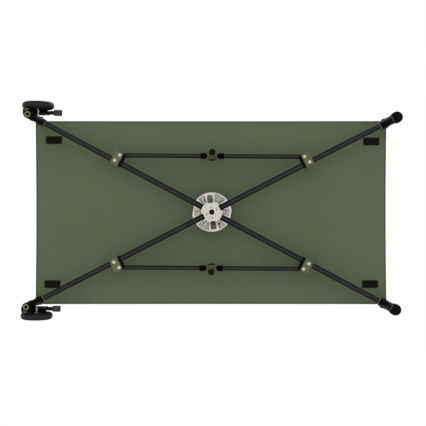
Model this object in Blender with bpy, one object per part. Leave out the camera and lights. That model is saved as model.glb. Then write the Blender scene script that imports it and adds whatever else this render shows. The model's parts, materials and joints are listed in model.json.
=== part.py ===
"""Folding stretcher: a fabric bed on four arms that fold down from a central hub, six legs and two wheels.

Metres, +Z up, standing on its feet. +X is the foot end and -X the head end, where the wheels are.
"""

from math import cos, pi, radians, sin

import bmesh
import bpy

# Frame: the origin lies on the floor under the middle of the whole outline, and the hub is a little off it,
# because the wheels reach out past the head end of the bed.
HUB_X = 0.009
GAP = 0.0003  # clearance between touching pieces

# Bed
SHEET_LENGTH, SHEET_WIDTH, SHEET_THICK = 2.003, 1.046, 0.005
SHEET_AT, SHEET_TURN = (-0.0045, 0.003), radians(-0.45)  # how the sheet sits on the frame
SHEET_Z = 0.395  # underside of the bed sheet
PAD_WIDTH, PAD_LENGTH, PAD_HEIGHT, PAD_REACH = 0.638, 0.290, 0.048, 0.0045
PATCH_LENGTH, PATCH_WIDTH, PATCH_THICK = 0.090, 0.043, 0.0015
PATCHES = {
    "head_left": (-0.901, -0.411),
    "head_right": (-0.910, 0.411),
    "foot_left": (0.911, -0.403),
    "foot_right": (0.904, 0.411),
}

# Arms, which run from the hub to the corner legs
ARM_ANGLE = radians(27.55)
ARM_Z, ARM_RADIUS, TUBE_WALL = 0.330, 0.015, 0.002
CORNER_REACH = 1.096  # hub axis to corner leg axis
PIVOT_REACH = 0.075  # hub axis to the pin that an arm folds about
ARM_STARTS = (0.065, 0.056, 0.065, 0.056)  # one for each arm, in the order of ARM_NAMES

# Hub
HUB_RADIUS, HUB_LOW, HUB_HIGH = 0.111, 0.307, 0.361
SLOT_WIDTH, SLOT_HIGH = 0.034, 0.3575
SLOT_STARTS = (0.059, 0.049, 0.059, 0.049)
RELIEF_START, RELIEF_Z = 0.0562, (0.3185, 0.3550)  # room above the slots' ends for the arms' ends to swing up into
FLATS = ((11, 0.1075), (191, 0.1035))  # direction in degrees and reach of the flats on the hub's rim
PIN_RADIUS, PIN_LENGTH = 0.004, 0.050
WINDOW_TURN = radians(-7.7)
WINDOW_REACH, WINDOW_HALF = (0.0515, 0.0975), 0.0163
HUB_HOLES, HOLE_REACH = (-27, 82, 153, 262), 0.031  # directions in degrees

# Corner legs
LEG_RADIUS = {"head": 0.019, "foot": 0.024}
FOOT_RADIUS = {"head": 0.0215, "foot": 0.030}
FITTING_RADIUS = {"head": 0.0225, "foot": 0.0262}
FOOT_HEIGHT, FOOT_FLOOR = 0.045, 0.010
FITTING_LOW, SOCKET_REACH, SPIGOT = 0.288, 0.031, 0.028
LOBE_IN, LOBE_OUT = (-0.027, 0.0205), (-0.004, 0.033)  # the head feet widen towards the wheels

# Side struts, each in two halves that meet at a middle leg
STRUT_RADIUS, PLUG_RADIUS, PLUG_END_RADIUS = 0.0125, 0.0175, 0.0130
STRUT_ALONG, STRUT_ASIDE = 0.6063, 0.0401  # the strut's rivet, along the arm and beside it
CLAMP_ALONG, CLAMP_LENGTH, CLAMP_HALF_HEIGHT = 0.612, 0.052, 0.0185
CLAMP_INNER, CLAMP_OUTER = -0.020, 0.055
RIVET_RADIUS = 0.004
PLUG_START = 0.066  # distance from the middle where the tube ends and the plug begins
PLUG_TIP, HEEL_RISE, HEEL_SLOPE = 0.0275, 0.010, radians(28)  # the plug's underside is cut off at a slope
MID_PIVOT_X, MID_PIVOT_Z = 0.0395, 0.342
MID_HALF_X, MID_HALF_Y, MID_LOW, MID_HIGH = 0.0245, 0.0225, 0.298, 0.350
MID_LEG_RADIUS, MID_FOOT_RADIUS, MID_FOOT_HEIGHT = 0.014, 0.017, 0.030

# Wheels and brakes, placed from the corner leg's axis: inboard along X and outward along Y
WHEEL_RADIUS, WHEEL_WIDTH, WHEEL_Z = 0.085, 0.037, 0.088
WHEEL_IN, WHEEL_OUT = 0.039, 0.055
AXLE_RADIUS, AXLE_START, AXLE_END = 0.006, 0.003, 0.0745
BRACKET_IN, BRACKET_OUT, BRACKET_Z = (0.006, 0.085), (0.012, 0.034), (0.056, 0.166)
BRACKET_WALL = 0.003
BAND_LOW, BAND_HIGH, BAND_RADIUS = 0.110, 0.150, 0.0225
PEDAL_IN, PEDAL_OUT, PEDAL_Z = 0.072, 0.0225, 0.134
GRIP_LENGTH, GRIP_WIDTH, GRIP_HEIGHT, GRIP_IN = 0.043, 0.031, 0.018, 0.1365


def clear_scene():
    for thing in list(bpy.data.objects):
        bpy.data.objects.remove(thing)


def material(name, rgb, roughness, metallic=0.0):
    """A Principled material from a display colour in 0 to 255."""
    made = bpy.data.materials.new(name)
    made.use_nodes = True
    shader = made.node_tree.nodes["Principled BSDF"]
    linear = [(c / 255) ** 2.2 for c in rgb]
    shader.inputs["Base Color"].default_value = (*linear, 1)
    shader.inputs["Roughness"].default_value = roughness
    shader.inputs["Metallic"].default_value = metallic
    return made


def empty(name, parent, location=(0, 0, 0), turn=0.0):
    made = bpy.data.objects.new(name, None)
    bpy.context.collection.objects.link(made)
    made.parent = parent
    made.location = location
    made.rotation_euler = (0, 0, turn)
    return made


def place(name, shape, look, parent, location=(0, 0, 0), rotation=(0, 0, 0)):
    """Turns a bmesh into a named object."""
    bmesh.ops.recalc_face_normals(shape, faces=shape.faces)
    mesh = bpy.data.meshes.new(name)
    shape.to_mesh(mesh)
    shape.free()
    mesh.shade_smooth()
    mesh.set_sharp_from_angle(angle=radians(35))
    mesh.materials.append(look)
    made = bpy.data.objects.new(name, mesh)
    bpy.context.collection.objects.link(made)
    made.parent = parent
    made.location = location
    made.rotation_euler = rotation
    return made


def turned(profile, segments=20, hollow=False):
    """Revolves (radius, height) points about Z. A hollow profile is a closed loop clear of the axis."""
    shape = bmesh.new()
    rings = []
    for radius, height in profile:
        if radius == 0:
            rings.append([shape.verts.new((0, 0, height))])
            continue
        angles = [2 * pi * k / segments for k in range(segments)]
        rings.append([shape.verts.new((radius * cos(a), radius * sin(a), height)) for a in angles])
    pairs = list(zip(rings, rings[1:]))
    if hollow:
        pairs.append((rings[-1], rings[0]))
    for upper, lower in pairs:
        for k in range(segments):
            n = (k + 1) % segments
            corners = [upper[k % len(upper)], upper[n % len(upper)], lower[n % len(lower)], lower[k % len(lower)]]
            face = list(dict.fromkeys(corners))
            if len(face) > 2:
                shape.faces.new(face)
    return shape


def tube(outer, wall, low, high, segments=20):
    inner = outer - wall
    return turned([(outer, high), (outer, low), (inner, low), (inner, high)], segments, hollow=True)


def rod(radius, low, high, segments=20):
    return turned([(0, high), (radius, high), (radius, low), (0, low)], segments)


def prism(outline, low, high):
    """Extrudes an outline in the XY plane from low to high."""
    shape = bmesh.new()
    base = shape.faces.new([shape.verts.new((x, y, low)) for x, y in outline])
    grown = bmesh.ops.extrude_face_region(shape, geom=[base])["geom"]
    tops = [v for v in grown if isinstance(v, bmesh.types.BMVert)]
    bmesh.ops.translate(shape, verts=tops, vec=(0, 0, high - low))
    return shape


def rectangle(x_range, y_range, corner=0.0, steps=4):
    """A rectangle's outline, with its corners rounded by quarter arcs."""
    (x0, x1), (y0, y1) = x_range, y_range
    if corner == 0:
        return [(x0, y0), (x1, y0), (x1, y1), (x0, y1)]
    centres = ((x1, y1, 0), (x0, y1, 1), (x0, y0, 2), (x1, y0, 3))
    points = []
    for x, y, quarter in centres:
        cx = x - corner if x == x1 else x + corner
        cy = y - corner if y == y1 else y + corner
        for k in range(steps + 1):
            a = (quarter + k / steps) * pi / 2
            points.append((cx + corner * cos(a), cy + corner * sin(a)))
    return points


def block(x_range, y_range, z_range, corner=0.0):
    return prism(rectangle(x_range, y_range, corner), *z_range)


def helper(target, shape, operation, location=(0, 0, 0), rotation=(0, 0, 0)):
    """Cuts a hidden shape from an object, or joins it to the object."""
    name = f"{target.name}_{operation.lower()}_{len(target.modifiers)}"
    made = place(name, shape, target.data.materials[0], target.parent, location, rotation)
    made.hide_render = True
    made.display_type = "WIRE"
    change = target.modifiers.new(name, "BOOLEAN")
    change.operation = operation
    change.object = made


def cut(target, shape, location=(0, 0, 0), rotation=(0, 0, 0)):
    helper(target, shape, "DIFFERENCE", location, rotation)


def join(target, shape, location=(0, 0, 0), rotation=(0, 0, 0)):
    helper(target, shape, "UNION", location, rotation)


ALONG_X = (0, pi / 2, 0)  # turns a shape made along Z to run along X
ALONG_Y = (-pi / 2, 0, 0)


def make_hub(root, looks):
    """A cast hub with a slot for each arm and two windows, one of them open right through."""
    hub = place("hub_casting", rod(HUB_RADIUS, HUB_LOW, HUB_HIGH, 40), looks["cast"], root)
    for index, angle in enumerate(arm_angles()):
        across = (-SLOT_WIDTH / 2, SLOT_WIDTH / 2)
        slot = block((SLOT_STARTS[index], HUB_RADIUS + 0.01), across, (HUB_LOW - 0.01, SLOT_HIGH))
        cut(hub, slot, rotation=(0, 0, angle))
        if SLOT_STARTS[index] > RELIEF_START:
            narrower = (across[0] + 0.001, across[1] - 0.001)
            relief = block((RELIEF_START, PIVOT_REACH), narrower, RELIEF_Z)
            cut(hub, relief, rotation=(0, 0, angle))
        reach = PIVOT_REACH
        at = (reach * cos(angle), reach * sin(angle), ARM_Z)
        hole = rod(PIN_RADIUS + GAP, -PIN_LENGTH / 2 - GAP, PIN_LENGTH / 2 + GAP, 12)
        cut(hub, hole, at, (pi / 2, 0, angle))
        pin = rod(PIN_RADIUS, -PIN_LENGTH / 2, PIN_LENGTH / 2, 12)
        place(f"hub_pin_{index + 1}", pin, looks["steel"], root, at, (pi / 2, 0, angle))
    for turn, top in ((pi / 2, SLOT_HIGH), (3 * pi / 2, HUB_HIGH + 0.01)):
        window = block(WINDOW_REACH, (-WINDOW_HALF, WINDOW_HALF), (HUB_LOW - 0.01, top), corner=0.010)
        cut(hub, window, rotation=(0, 0, turn + WINDOW_TURN))
    for direction in HUB_HOLES:
        angle = radians(direction)
        hole = rod(0.0035, HUB_LOW - 0.01, HUB_HIGH - 0.006, 8)
        cut(hub, hole, (HOLE_REACH * cos(angle), HOLE_REACH * sin(angle), 0))
    for direction, reach in FLATS:
        beyond = block((reach, HUB_RADIUS + 0.02), (-HUB_RADIUS, HUB_RADIUS), (HUB_LOW - 0.01, HUB_HIGH + 0.01))
        cut(hub, beyond, rotation=(0, 0, radians(direction)))
    cut(hub, rod(0.015, HUB_LOW - 0.01, HUB_LOW + 0.020, 16))


def make_bed(root, looks):
    """The sheet, the head pad that lies on it, and the four fastening patches under it."""
    half_x, half_y = SHEET_LENGTH / 2, SHEET_WIDTH / 2
    top = SHEET_Z + SHEET_THICK
    frame = empty("bed_axis", root, (0, 0, 0), SHEET_TURN)
    at = (*SHEET_AT, 0)
    sheet = block((-half_x, half_x), (-half_y, half_y), (SHEET_Z, top), corner=0.012)
    place("bed_sheet", sheet, looks["canvas"], frame, at)
    pad_x = (-half_x - PAD_REACH, -half_x - PAD_REACH + PAD_LENGTH)
    pad = block(pad_x, (-PAD_WIDTH / 2, PAD_WIDTH / 2), (top + GAP, top + PAD_HEIGHT), corner=0.030)
    place("head_pad", pad, looks["canvas"], frame, at)
    half_length, half_width = PATCH_LENGTH / 2, PATCH_WIDTH / 2
    low, high = SHEET_Z - GAP - PATCH_THICK, SHEET_Z - GAP
    for name, (x, y) in PATCHES.items():
        patch = block((-half_length, half_length), (-half_width, half_width), (low, high), corner=0.003)
        place(f"patch_{name}", patch, looks["hook_tape"], frame, (x, y, 0))


def arm_angles():
    """Directions of the four arms: foot right, head right, head left, foot left."""
    return (ARM_ANGLE, pi - ARM_ANGLE, pi + ARM_ANGLE, 2 * pi - ARM_ANGLE)


ARM_NAMES = ("foot_right", "head_right", "head_left", "foot_left")


def make_arm(name, frame, looks):
    """An arm's tube, bored for its hub pin. The frame's X runs along the arm from the pin."""
    length = CORNER_REACH - SOCKET_REACH - GAP - PIVOT_REACH
    start = ARM_STARTS[ARM_NAMES.index(name)] - PIVOT_REACH
    arm = tube(ARM_RADIUS, TUBE_WALL, start, length)
    arm = place(f"arm_tube_{name}", arm, looks["tube"], frame, rotation=ALONG_X)
    cut(arm, rod(PIN_RADIUS + GAP, -0.03, 0.03, 10), rotation=ALONG_Y)


def make_corner(name, frame, looks, is_head):
    """The corner fitting with spigots for the arm and the leg, then the leg and its foot."""
    at = CORNER_REACH - PIVOT_REACH
    low, high = FITTING_LOW - ARM_Z, SHEET_Z - GAP - ARM_Z
    end = "head" if is_head else "foot"
    leg_bore, radius = LEG_RADIUS[end] - TUBE_WALL, FITTING_RADIUS[end]
    profile = [
        (0, high),
        (radius, high),
        (radius, low),
        (leg_bore - GAP, low),
        (leg_bore - GAP, low - SPIGOT),
        (0, low - SPIGOT),
    ]
    fitting = place(f"corner_fitting_{name}", turned(profile), looks["cast_black"], frame, (at, 0, 0))
    socket_radius, spigot_radius = 0.0205, ARM_RADIUS - TUBE_WALL - GAP
    neck = turned([
        (0, SOCKET_REACH + SPIGOT),
        (spigot_radius, SOCKET_REACH + SPIGOT),
        (spigot_radius, SOCKET_REACH),
        (socket_radius, SOCKET_REACH),
        (socket_radius, 0),
        (0, 0),
    ])
    join(fitting, neck, (at, 0, 0), (0, -pi / 2, 0))
    leg = tube(LEG_RADIUS[end], TUBE_WALL, FOOT_FLOOR + GAP - ARM_Z, low - GAP)
    place(f"leg_tube_{name}", leg, looks["tube"], frame, (at, 0, 0))
    make_foot(name, frame, looks, at, end)


def make_foot(name, frame, looks, at, end):
    """A rubber cup on the leg's end. The head feet have a hole in the sole and a lobe beside the leg."""
    outer, bore = FOOT_RADIUS[end], LEG_RADIUS[end] + GAP
    floor, high = FOOT_FLOOR - ARM_Z, FOOT_HEIGHT - ARM_Z
    profile = [
        (0, floor),
        (bore, floor),
        (bore, high),
        (outer, high),
        (outer, -ARM_Z + 0.003),
        (outer - 0.003, -ARM_Z),
    ]
    if end == "head":
        hole, depth = 0.0085, 0.006
        profile += [(hole, -ARM_Z), (hole, -ARM_Z + depth), (0, -ARM_Z + depth)]
    else:
        profile += [(0, -ARM_Z)]
    foot = place(f"foot_{name}", turned(profile), looks["rubber"], frame, (at, 0, 0))
    if end == "head":
        side = 1 if name.endswith("right") else -1
        across = sorted(side * edge for edge in LOBE_OUT)
        lobe = block(LOBE_IN, across, (FOOT_FLOOR - ARM_Z, high), corner=0.010)
        join(foot, lobe, (at, 0, 0), (0, 0, -arm_angles()[ARM_NAMES.index(name)]))
        cut(foot, rod(bore, floor, high + 0.01), (at, 0, 0))


def make_clamp(name, frame, looks, hand):
    """The clamp on an arm that a strut swings in. hand is the side of the arm that the strut is on."""
    centre = CLAMP_ALONG - PIVOT_REACH
    rivet_x = STRUT_ALONG - PIVOT_REACH
    half = CLAMP_LENGTH / 2
    edges = sorted((hand * CLAMP_INNER, hand * CLAMP_OUTER))
    outline = block((centre - half, centre + half), edges, (-CLAMP_HALF_HEIGHT, CLAMP_HALF_HEIGHT), corner=0.006)
    clamp = place(f"strut_clamp_{name}", outline, looks["olive"], frame)
    cut(clamp, rod(ARM_RADIUS + GAP, -half - 0.01, half + 0.01), (centre, 0, 0), ALONG_X)
    mouth = sorted((hand * 0.0185, hand * (CLAMP_OUTER + 0.01)))
    room = STRUT_RADIUS + 2 * GAP
    cut(clamp, block((centre - half - 0.01, rivet_x + 0.0195), mouth, (-room, room)))
    hole = rod(RIVET_RADIUS + GAP, -0.03, 0.03, 10)
    cut(clamp, hole, (rivet_x, hand * STRUT_ASIDE, 0))
    low, high = -CLAMP_HALF_HEIGHT - GAP, CLAMP_HALF_HEIGHT + GAP
    rivet = turned([
        (0, high + 0.0025),
        (0.007, high),
        (RIVET_RADIUS, high),
        (RIVET_RADIUS, low),
        (0.0095, low),
        (0.006, low - 0.0030),
        (0, low - 0.0030),
    ], 12)
    place(f"strut_rivet_{name}", rivet, looks["steel"], frame, (rivet_x, hand * STRUT_ASIDE, 0))


def make_half_strut(name, root, looks, end, side):
    """Half a side strut with the plug in its inner end. Its X runs from the rivet to the middle."""
    angle = ARM_ANGLE
    x = STRUT_ALONG * cos(angle) - STRUT_ASIDE * sin(angle)
    y = STRUT_ALONG * sin(angle) + STRUT_ASIDE * cos(angle)
    frame = empty(f"strut_axis_{name}", root, (end * x, side * y, ARM_Z), pi if end > 0 else 0)
    length = x - PLUG_START
    strut = tube(STRUT_RADIUS, TUBE_WALL, -0.012, length, 16)
    strut = place(f"strut_tube_{name}", strut, looks["tube"], frame, rotation=ALONG_X)
    cut(strut, rod(RIVET_RADIUS + GAP, -0.03, 0.03, 10))
    tip = x - PLUG_TIP
    bore = STRUT_RADIUS - TUBE_WALL - GAP
    profile = [
        (0, tip),
        (PLUG_END_RADIUS, tip),
        (PLUG_END_RADIUS, tip - 0.008),
        (PLUG_RADIUS, tip - 0.013),
        (PLUG_RADIUS, length + GAP),
        (bore, length + GAP),
        (bore, length - 0.025),
        (0, length - 0.025),
    ]
    plug = place(f"strut_plug_{name}", turned(profile, 16), looks["rubber"], frame, rotation=ALONG_X)
    heel = block((-0.06, 0.03), (-0.03, 0.03), (-0.04, 0))
    cut(plug, heel, (tip, 0, HEEL_RISE), (0, -HEEL_SLOPE, 0))


def make_middle(name, root, looks, side):
    """The middle leg of one side, carried by the fitting that the two half struts meet at."""
    y = STRUT_ALONG * sin(ARM_ANGLE) + STRUT_ASIDE * cos(ARM_ANGLE)
    frame = empty(f"middle_axis_{name}", root, (-MID_PIVOT_X, side * y, MID_PIVOT_Z))
    low, high = MID_LOW - MID_PIVOT_Z, MID_HIGH - MID_PIVOT_Z
    body = block((-MID_HALF_X, MID_HALF_X), (-MID_HALF_Y, MID_HALF_Y), (low, high), corner=0.007)
    body = place(f"middle_fitting_{name}", body, looks["olive"], frame, (MID_PIVOT_X, 0, 0))
    depth = 0.030
    bore = rod(MID_LEG_RADIUS + GAP, low - 0.01, low + depth)
    cut(body, bore, (MID_PIVOT_X, 0, 0))
    floor = -MID_PIVOT_Z
    leg = turned([
        (0, low + depth - GAP),
        (MID_LEG_RADIUS, low + depth - GAP),
        (MID_LEG_RADIUS, floor + MID_FOOT_HEIGHT),
        (MID_FOOT_RADIUS - 0.001, floor + MID_FOOT_HEIGHT),
        (MID_FOOT_RADIUS, floor + 0.002),
        (MID_FOOT_RADIUS - 0.002, floor),
        (0, floor),
    ])
    place(f"middle_leg_{name}", leg, looks["olive"], frame, (MID_PIVOT_X, 0, 0))


def make_wheel(name, frame, looks, side):
    """Tyre, rim and axle. The leg frame has its X towards the foot end and Z up from the floor."""
    at = (WHEEL_IN, side * WHEEL_OUT, WHEEL_Z)
    half, tread = WHEEL_WIDTH / 2, 0.066
    rise = 0.014  # how far the tread's crown rises from its shoulders to the middle
    arc = [radians(a) for a in (80, 40, 0, -40, -80)]
    crown = [(WHEEL_RADIUS - rise + rise * cos(a), half * sin(a)) for a in arc]
    tyre = turned([(tread, half - 0.004)] + crown + [(tread, -half + 0.004)], 32, hollow=True)
    place(f"wheel_tyre_{name}", tyre, looks["tyre"], frame, at, ALONG_Y)
    seat, web, boss, bore = tread - GAP, 0.004, 0.016, AXLE_RADIUS + GAP
    rim = turned([
        (seat, half - 0.005),
        (seat, -half + 0.005),
        (seat - 0.008, -web),
        (boss, -web),
        (boss, -half + 0.003),
        (bore, -half + 0.003),
        (bore, half - 0.003),
        (boss, half - 0.003),
        (boss, web),
        (seat - 0.008, web),
    ], 24, hollow=True)
    place(f"wheel_rim_{name}", rim, looks["rim"], frame, at, ALONG_Y)
    axle = rod(AXLE_RADIUS, AXLE_START, AXLE_END, 16)
    place(f"wheel_axle_{name}", axle, looks["steel"], frame, (WHEEL_IN, 0, WHEEL_Z), (-side * pi / 2, 0, 0))


def make_bracket(name, frame, looks, side):
    """A channel open below, banded to the leg. It holds the axle in open slots, and the brake pedal."""
    near, far = BRACKET_OUT
    start, end = BRACKET_IN
    low, high = BRACKET_Z
    outer = block((start, end), sorted((side * near, side * far)), (low, high), corner=0.002)
    bracket = place(f"wheel_bracket_{name}", outer, looks["cast_black"], frame)
    join(bracket, rod(BAND_RADIUS, BAND_LOW, BAND_HIGH))
    walls = sorted((side * (near + BRACKET_WALL), side * (far - BRACKET_WALL)))
    cut(bracket, block((start + 0.018, end + 0.01), walls, (low - 0.01, high - 0.004)))
    cut(bracket, rod(LEG_RADIUS["head"] + GAP, low - 0.01, high + 0.01))
    axle_hole = rod(AXLE_RADIUS + GAP, 0, AXLE_END, 16)
    cut(bracket, axle_hole, (WHEEL_IN, 0, WHEEL_Z), (-side * pi / 2, 0, 0))
    room = AXLE_RADIUS + GAP
    slot = block((WHEEL_IN - room, WHEEL_IN + room), sorted((0, side * (far + 0.01))), (low - 0.01, WHEEL_Z))
    cut(bracket, slot)


def make_pedal(name, frame, looks, side):
    """A brake pedal: a lever hinged in the bracket, with a rubber grip on its end."""
    axis = empty(f"pedal_axis_{name}", frame, (PEDAL_IN, side * PEDAL_OUT, PEDAL_Z))
    cheek, bar = 0.0075, 0.006
    lever = place(f"pedal_lever_{name}", rod(0.009, -cheek, cheek, 20), looks["steel_black"], axis, rotation=ALONG_Y)
    reach = GRIP_IN - PEDAL_IN + GRIP_LENGTH / 2 - 0.004
    neck, wide = 0.0185, 0.010
    join(lever, block((0, neck + 0.001), (-cheek, cheek), (-bar, bar)))
    join(lever, block((neck, reach), (-wide, wide), (-bar, bar)))
    centre = GRIP_IN - PEDAL_IN
    half_x, half_y, half_z = GRIP_LENGTH / 2, GRIP_WIDTH / 2, GRIP_HEIGHT / 2
    grip = block((centre - half_x, centre + half_x), (-half_y, half_y), (-half_z, half_z), corner=0.004)
    grip = place(f"pedal_grip_{name}", grip, looks["grip"], axis)
    cut(grip, block((0, reach + GAP), (-wide - GAP, wide + GAP), (-bar - GAP, bar + GAP)))


def make_looks():
    return {
        "canvas": material("olive canvas", (91, 100, 79), 0.85),
        "hook_tape": material("hook tape", (22, 24, 18), 0.95),
        "tube": material("black coated tube", (44, 44, 46), 0.42),
        "cast": material("cast alloy", (205, 200, 195), 0.55, 0.3),
        "cast_black": material("black casting", (20, 20, 20), 0.50),
        "olive": material("olive casting", (100, 103, 78), 0.60),
        "rubber": material("black rubber", (18, 19, 18), 0.80),
        "tyre": material("tyre rubber", (52, 52, 52), 0.78),
        "rim": material("rim", (60, 62, 60), 0.50),
        "steel": material("zinc steel", (188, 192, 178), 0.35, 0.8),
        "steel_black": material("black steel", (30, 30, 32), 0.45),
        "grip": material("grip rubber", (65, 65, 68), 0.75),
    }


def main():
    clear_scene()
    looks = make_looks()
    root = empty("hub_axis", None, (HUB_X, 0, 0))
    make_hub(root, looks)
    make_bed(root, looks)
    for name, angle in zip(ARM_NAMES, arm_angles()):
        end = 1 if name.startswith("foot") else -1
        side = 1 if name.endswith("right") else -1
        pin = (PIVOT_REACH * cos(angle), PIVOT_REACH * sin(angle), ARM_Z)
        frame = empty(f"arm_axis_{name}", root, pin, angle)
        make_arm(name, frame, looks)
        make_corner(name, frame, looks, end < 0)
        make_clamp(name, frame, looks, end * side)
        make_half_strut(name, root, looks, end, side)
        if end < 0:
            leg = empty(f"leg_axis_{name}", frame, (CORNER_REACH - PIVOT_REACH, 0, -ARM_Z), -angle)
            wheel_name = "right" if side > 0 else "left"
            make_wheel(wheel_name, leg, looks, side)
            make_bracket(wheel_name, leg, looks, side)
            make_pedal(wheel_name, leg, looks, side)
    for name, side in (("right", 1), ("left", -1)):
        make_middle(name, root, looks, side)


main()
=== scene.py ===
"""The looks of the folding stretcher: finely shaped pieces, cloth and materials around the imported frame."""

import json
from math import atan2, cos, hypot, pi, radians, sin, tan

import bmesh
import bpy
from mathutils import Matrix, Vector, noise


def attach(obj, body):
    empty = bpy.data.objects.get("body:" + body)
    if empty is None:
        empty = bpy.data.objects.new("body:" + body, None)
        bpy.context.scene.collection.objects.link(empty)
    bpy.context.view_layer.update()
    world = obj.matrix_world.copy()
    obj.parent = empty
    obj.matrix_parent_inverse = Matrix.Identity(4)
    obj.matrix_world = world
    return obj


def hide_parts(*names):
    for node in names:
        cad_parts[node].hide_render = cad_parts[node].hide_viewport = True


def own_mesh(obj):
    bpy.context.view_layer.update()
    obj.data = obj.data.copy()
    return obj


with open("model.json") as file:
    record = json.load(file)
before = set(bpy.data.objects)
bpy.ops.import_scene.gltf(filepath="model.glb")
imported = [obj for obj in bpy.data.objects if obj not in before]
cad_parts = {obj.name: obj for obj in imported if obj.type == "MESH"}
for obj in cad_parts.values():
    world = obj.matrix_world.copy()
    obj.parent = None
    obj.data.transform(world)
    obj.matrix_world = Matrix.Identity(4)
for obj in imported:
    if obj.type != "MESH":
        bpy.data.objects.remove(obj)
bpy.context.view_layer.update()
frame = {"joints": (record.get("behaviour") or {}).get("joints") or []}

# Sizes in metres, as the frame has them
HUB_X = 0.009
PIN_REACH, PIN_Z = 0.075, 0.330
CORNER_REACH, SOCKET_REACH = 1.096, 0.031
ARM_STARTS = {"foot_right": 0.065, "head_right": 0.056, "head_left": 0.065, "foot_left": 0.056}
TUBE_R, STRUT_R, PLUG_R, PLUG_END_R = 0.015, 0.0125, 0.0175, 0.0150
LEG_R = {"head": 0.019, "foot": 0.024}
FOOT_R = {"head": 0.0215, "foot": 0.030}
POST_R = {"head": 0.0225, "foot": 0.0262}
POST_LOW, POST_HIGH = 0.288, 0.3945
SHEET_LOW, SHEET_HALF_X, SHEET_HALF_Y = 0.395, 1.0015, 0.523
HUB_R, HUB_LOW, HUB_HIGH = 0.111, 0.307, 0.361
SLOT_STARTS, RELIEF_START = (0.059, 0.049, 0.059, 0.049), 0.0562
STRUT_ALONG, STRUT_ASIDE = 0.6063, 0.0401  # the strut's rivet, along the arm and beside it
CLAMP_ALONG, CLAMP_SCREW_ALONG, CLAMP_HALF, CLAMP_HIGH = 0.612, 0.618, 0.026, 0.0185
BRACKET_NEAR, BRACKET_FAR = 0.012, 0.034  # its inner and outer faces, out from the leg's axis
BRACKET_CUT_LOW = 0.040  # where its cutters start, below the bracket
AXLE_AT = (0.039, 0.088)  # inboard of the corner leg's axis, and above the floor
AXLE_END = 0.0745  # how far out the axle reaches
WHEEL_OUT, WHEEL_R, WHEEL_HALF = 0.055, 0.085, 0.0185
PEDAL_AT = (0.072, 0.0225, 0.134)
FOLD = next(j for j in frame["joints"] if j["name"] == "fold")
CORNERS = {"foot_right": (1, 1), "head_right": (-1, 1), "head_left": (-1, -1), "foot_left": (1, -1)}


def shift(x=0.0, y=0.0, z=0.0):
    """A move."""
    return Matrix.Translation((x, y, z))


def turn(angle, axis="Z"):
    """A rotation."""
    return Matrix.Rotation(angle, 4, axis)


def towards(hand):
    """Turns an upright shape so that its top points along +Y, or along -Y for a hand of -1."""
    return turn(-hand * pi / 2, "X")


def span(side, start, end):
    """A range across the bed, mirrored for a side of -1."""
    return sorted((side * start, side * end))


ALONG_X = turn(pi / 2, "Y")
INWARD = turn(-pi / 2, "Y")
ALONG_Y = towards(1)
DOWN = turn(pi, "X")
HUB = shift(HUB_X)
SKEW = radians(-0.45)
TURNED = HUB @ turn(SKEW)  # the fabric sits a little askew on the frame
BED = TURNED @ shift(-0.0045, 0.003)  # the middle of the sheet
HEM, STITCH = 0.008, 0.0045  # the hem's width and the stitches' pitch


# Materials


def linear(rgb, lift=1.0):
    """A display colour from 0 to 255 as a linear one, made lighter or darker."""
    return (*[min(1.0, lift * (c / 255) ** 2.2) for c in rgb], 1)


class Tree:
    """A material's node tree, built by naming each node's inputs."""

    def __init__(self, name):
        self.material = bpy.data.materials.new(name)
        self.material.use_nodes = True
        self.tree = self.material.node_tree
        self.shader = self.tree.nodes["Principled BSDF"]

    def add(self, kind, inputs=None, **settings):
        """Adds a node and fills its inputs."""
        node = self.tree.nodes.new("ShaderNode" + kind)
        for key, value in settings.items():
            setattr(node, key, value)
        for key, value in (inputs or {}).items():
            self.set(node.inputs[key], value)
        return node

    def set(self, socket, value):
        """Links a socket, or sets a plain value on it."""
        if isinstance(value, bpy.types.NodeSocket):
            self.tree.links.new(value, socket)
        else:
            socket.default_value = value

    def math(self, operation, a, b=0.0):
        """One step of arithmetic."""
        return self.add("Math", {0: a, 1: b}, operation=operation).outputs[0]

    def point(self):
        """The position on the piece, in metres."""
        return self.add("TexCoord").outputs["Object"]

    def noise(self, scale, detail=3.0, rough=0.55, vector=None):
        """A noise from 0 to 1."""
        inputs = {"Vector": vector or self.point(), "Scale": scale, "Detail": detail, "Roughness": rough}
        return self.add("TexNoise", inputs).outputs["Fac"]

    def ramp(self, value, low, high, to_low=0.0, to_high=1.0):
        """A value mapped from one range to another."""
        inputs = {"Value": value, "From Min": low, "From Max": high, "To Min": to_low, "To Max": to_high}
        return self.add("MapRange", inputs).outputs[0]

    def mix(self, fac, a, b):
        """Two colours mixed."""
        node = self.add("Mix", data_type="RGBA")
        self.set(node.inputs[0], fac)
        self.set(node.inputs[6], a)
        self.set(node.inputs[7], b)
        return node.outputs[2]

    def bump(self, height, distance, strength=1.0, normal=None):
        """A normal bent by a height."""
        inputs = {"Height": height, "Distance": distance, "Strength": strength}
        if normal is not None:
            inputs["Normal"] = normal
        return self.add("Bump", inputs).outputs["Normal"]

    def finish(self, colour, roughness, normal=None, **plain):
        """Sets the shader and gives back the material."""
        self.set(self.shader.inputs["Base Color"], colour)
        self.set(self.shader.inputs["Roughness"], roughness)
        if normal is not None:
            self.set(self.shader.inputs["Normal"], normal)
        for key, value in plain.items():
            self.shader.inputs[key.replace("_", " ")].default_value = value
        return self.material


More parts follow.
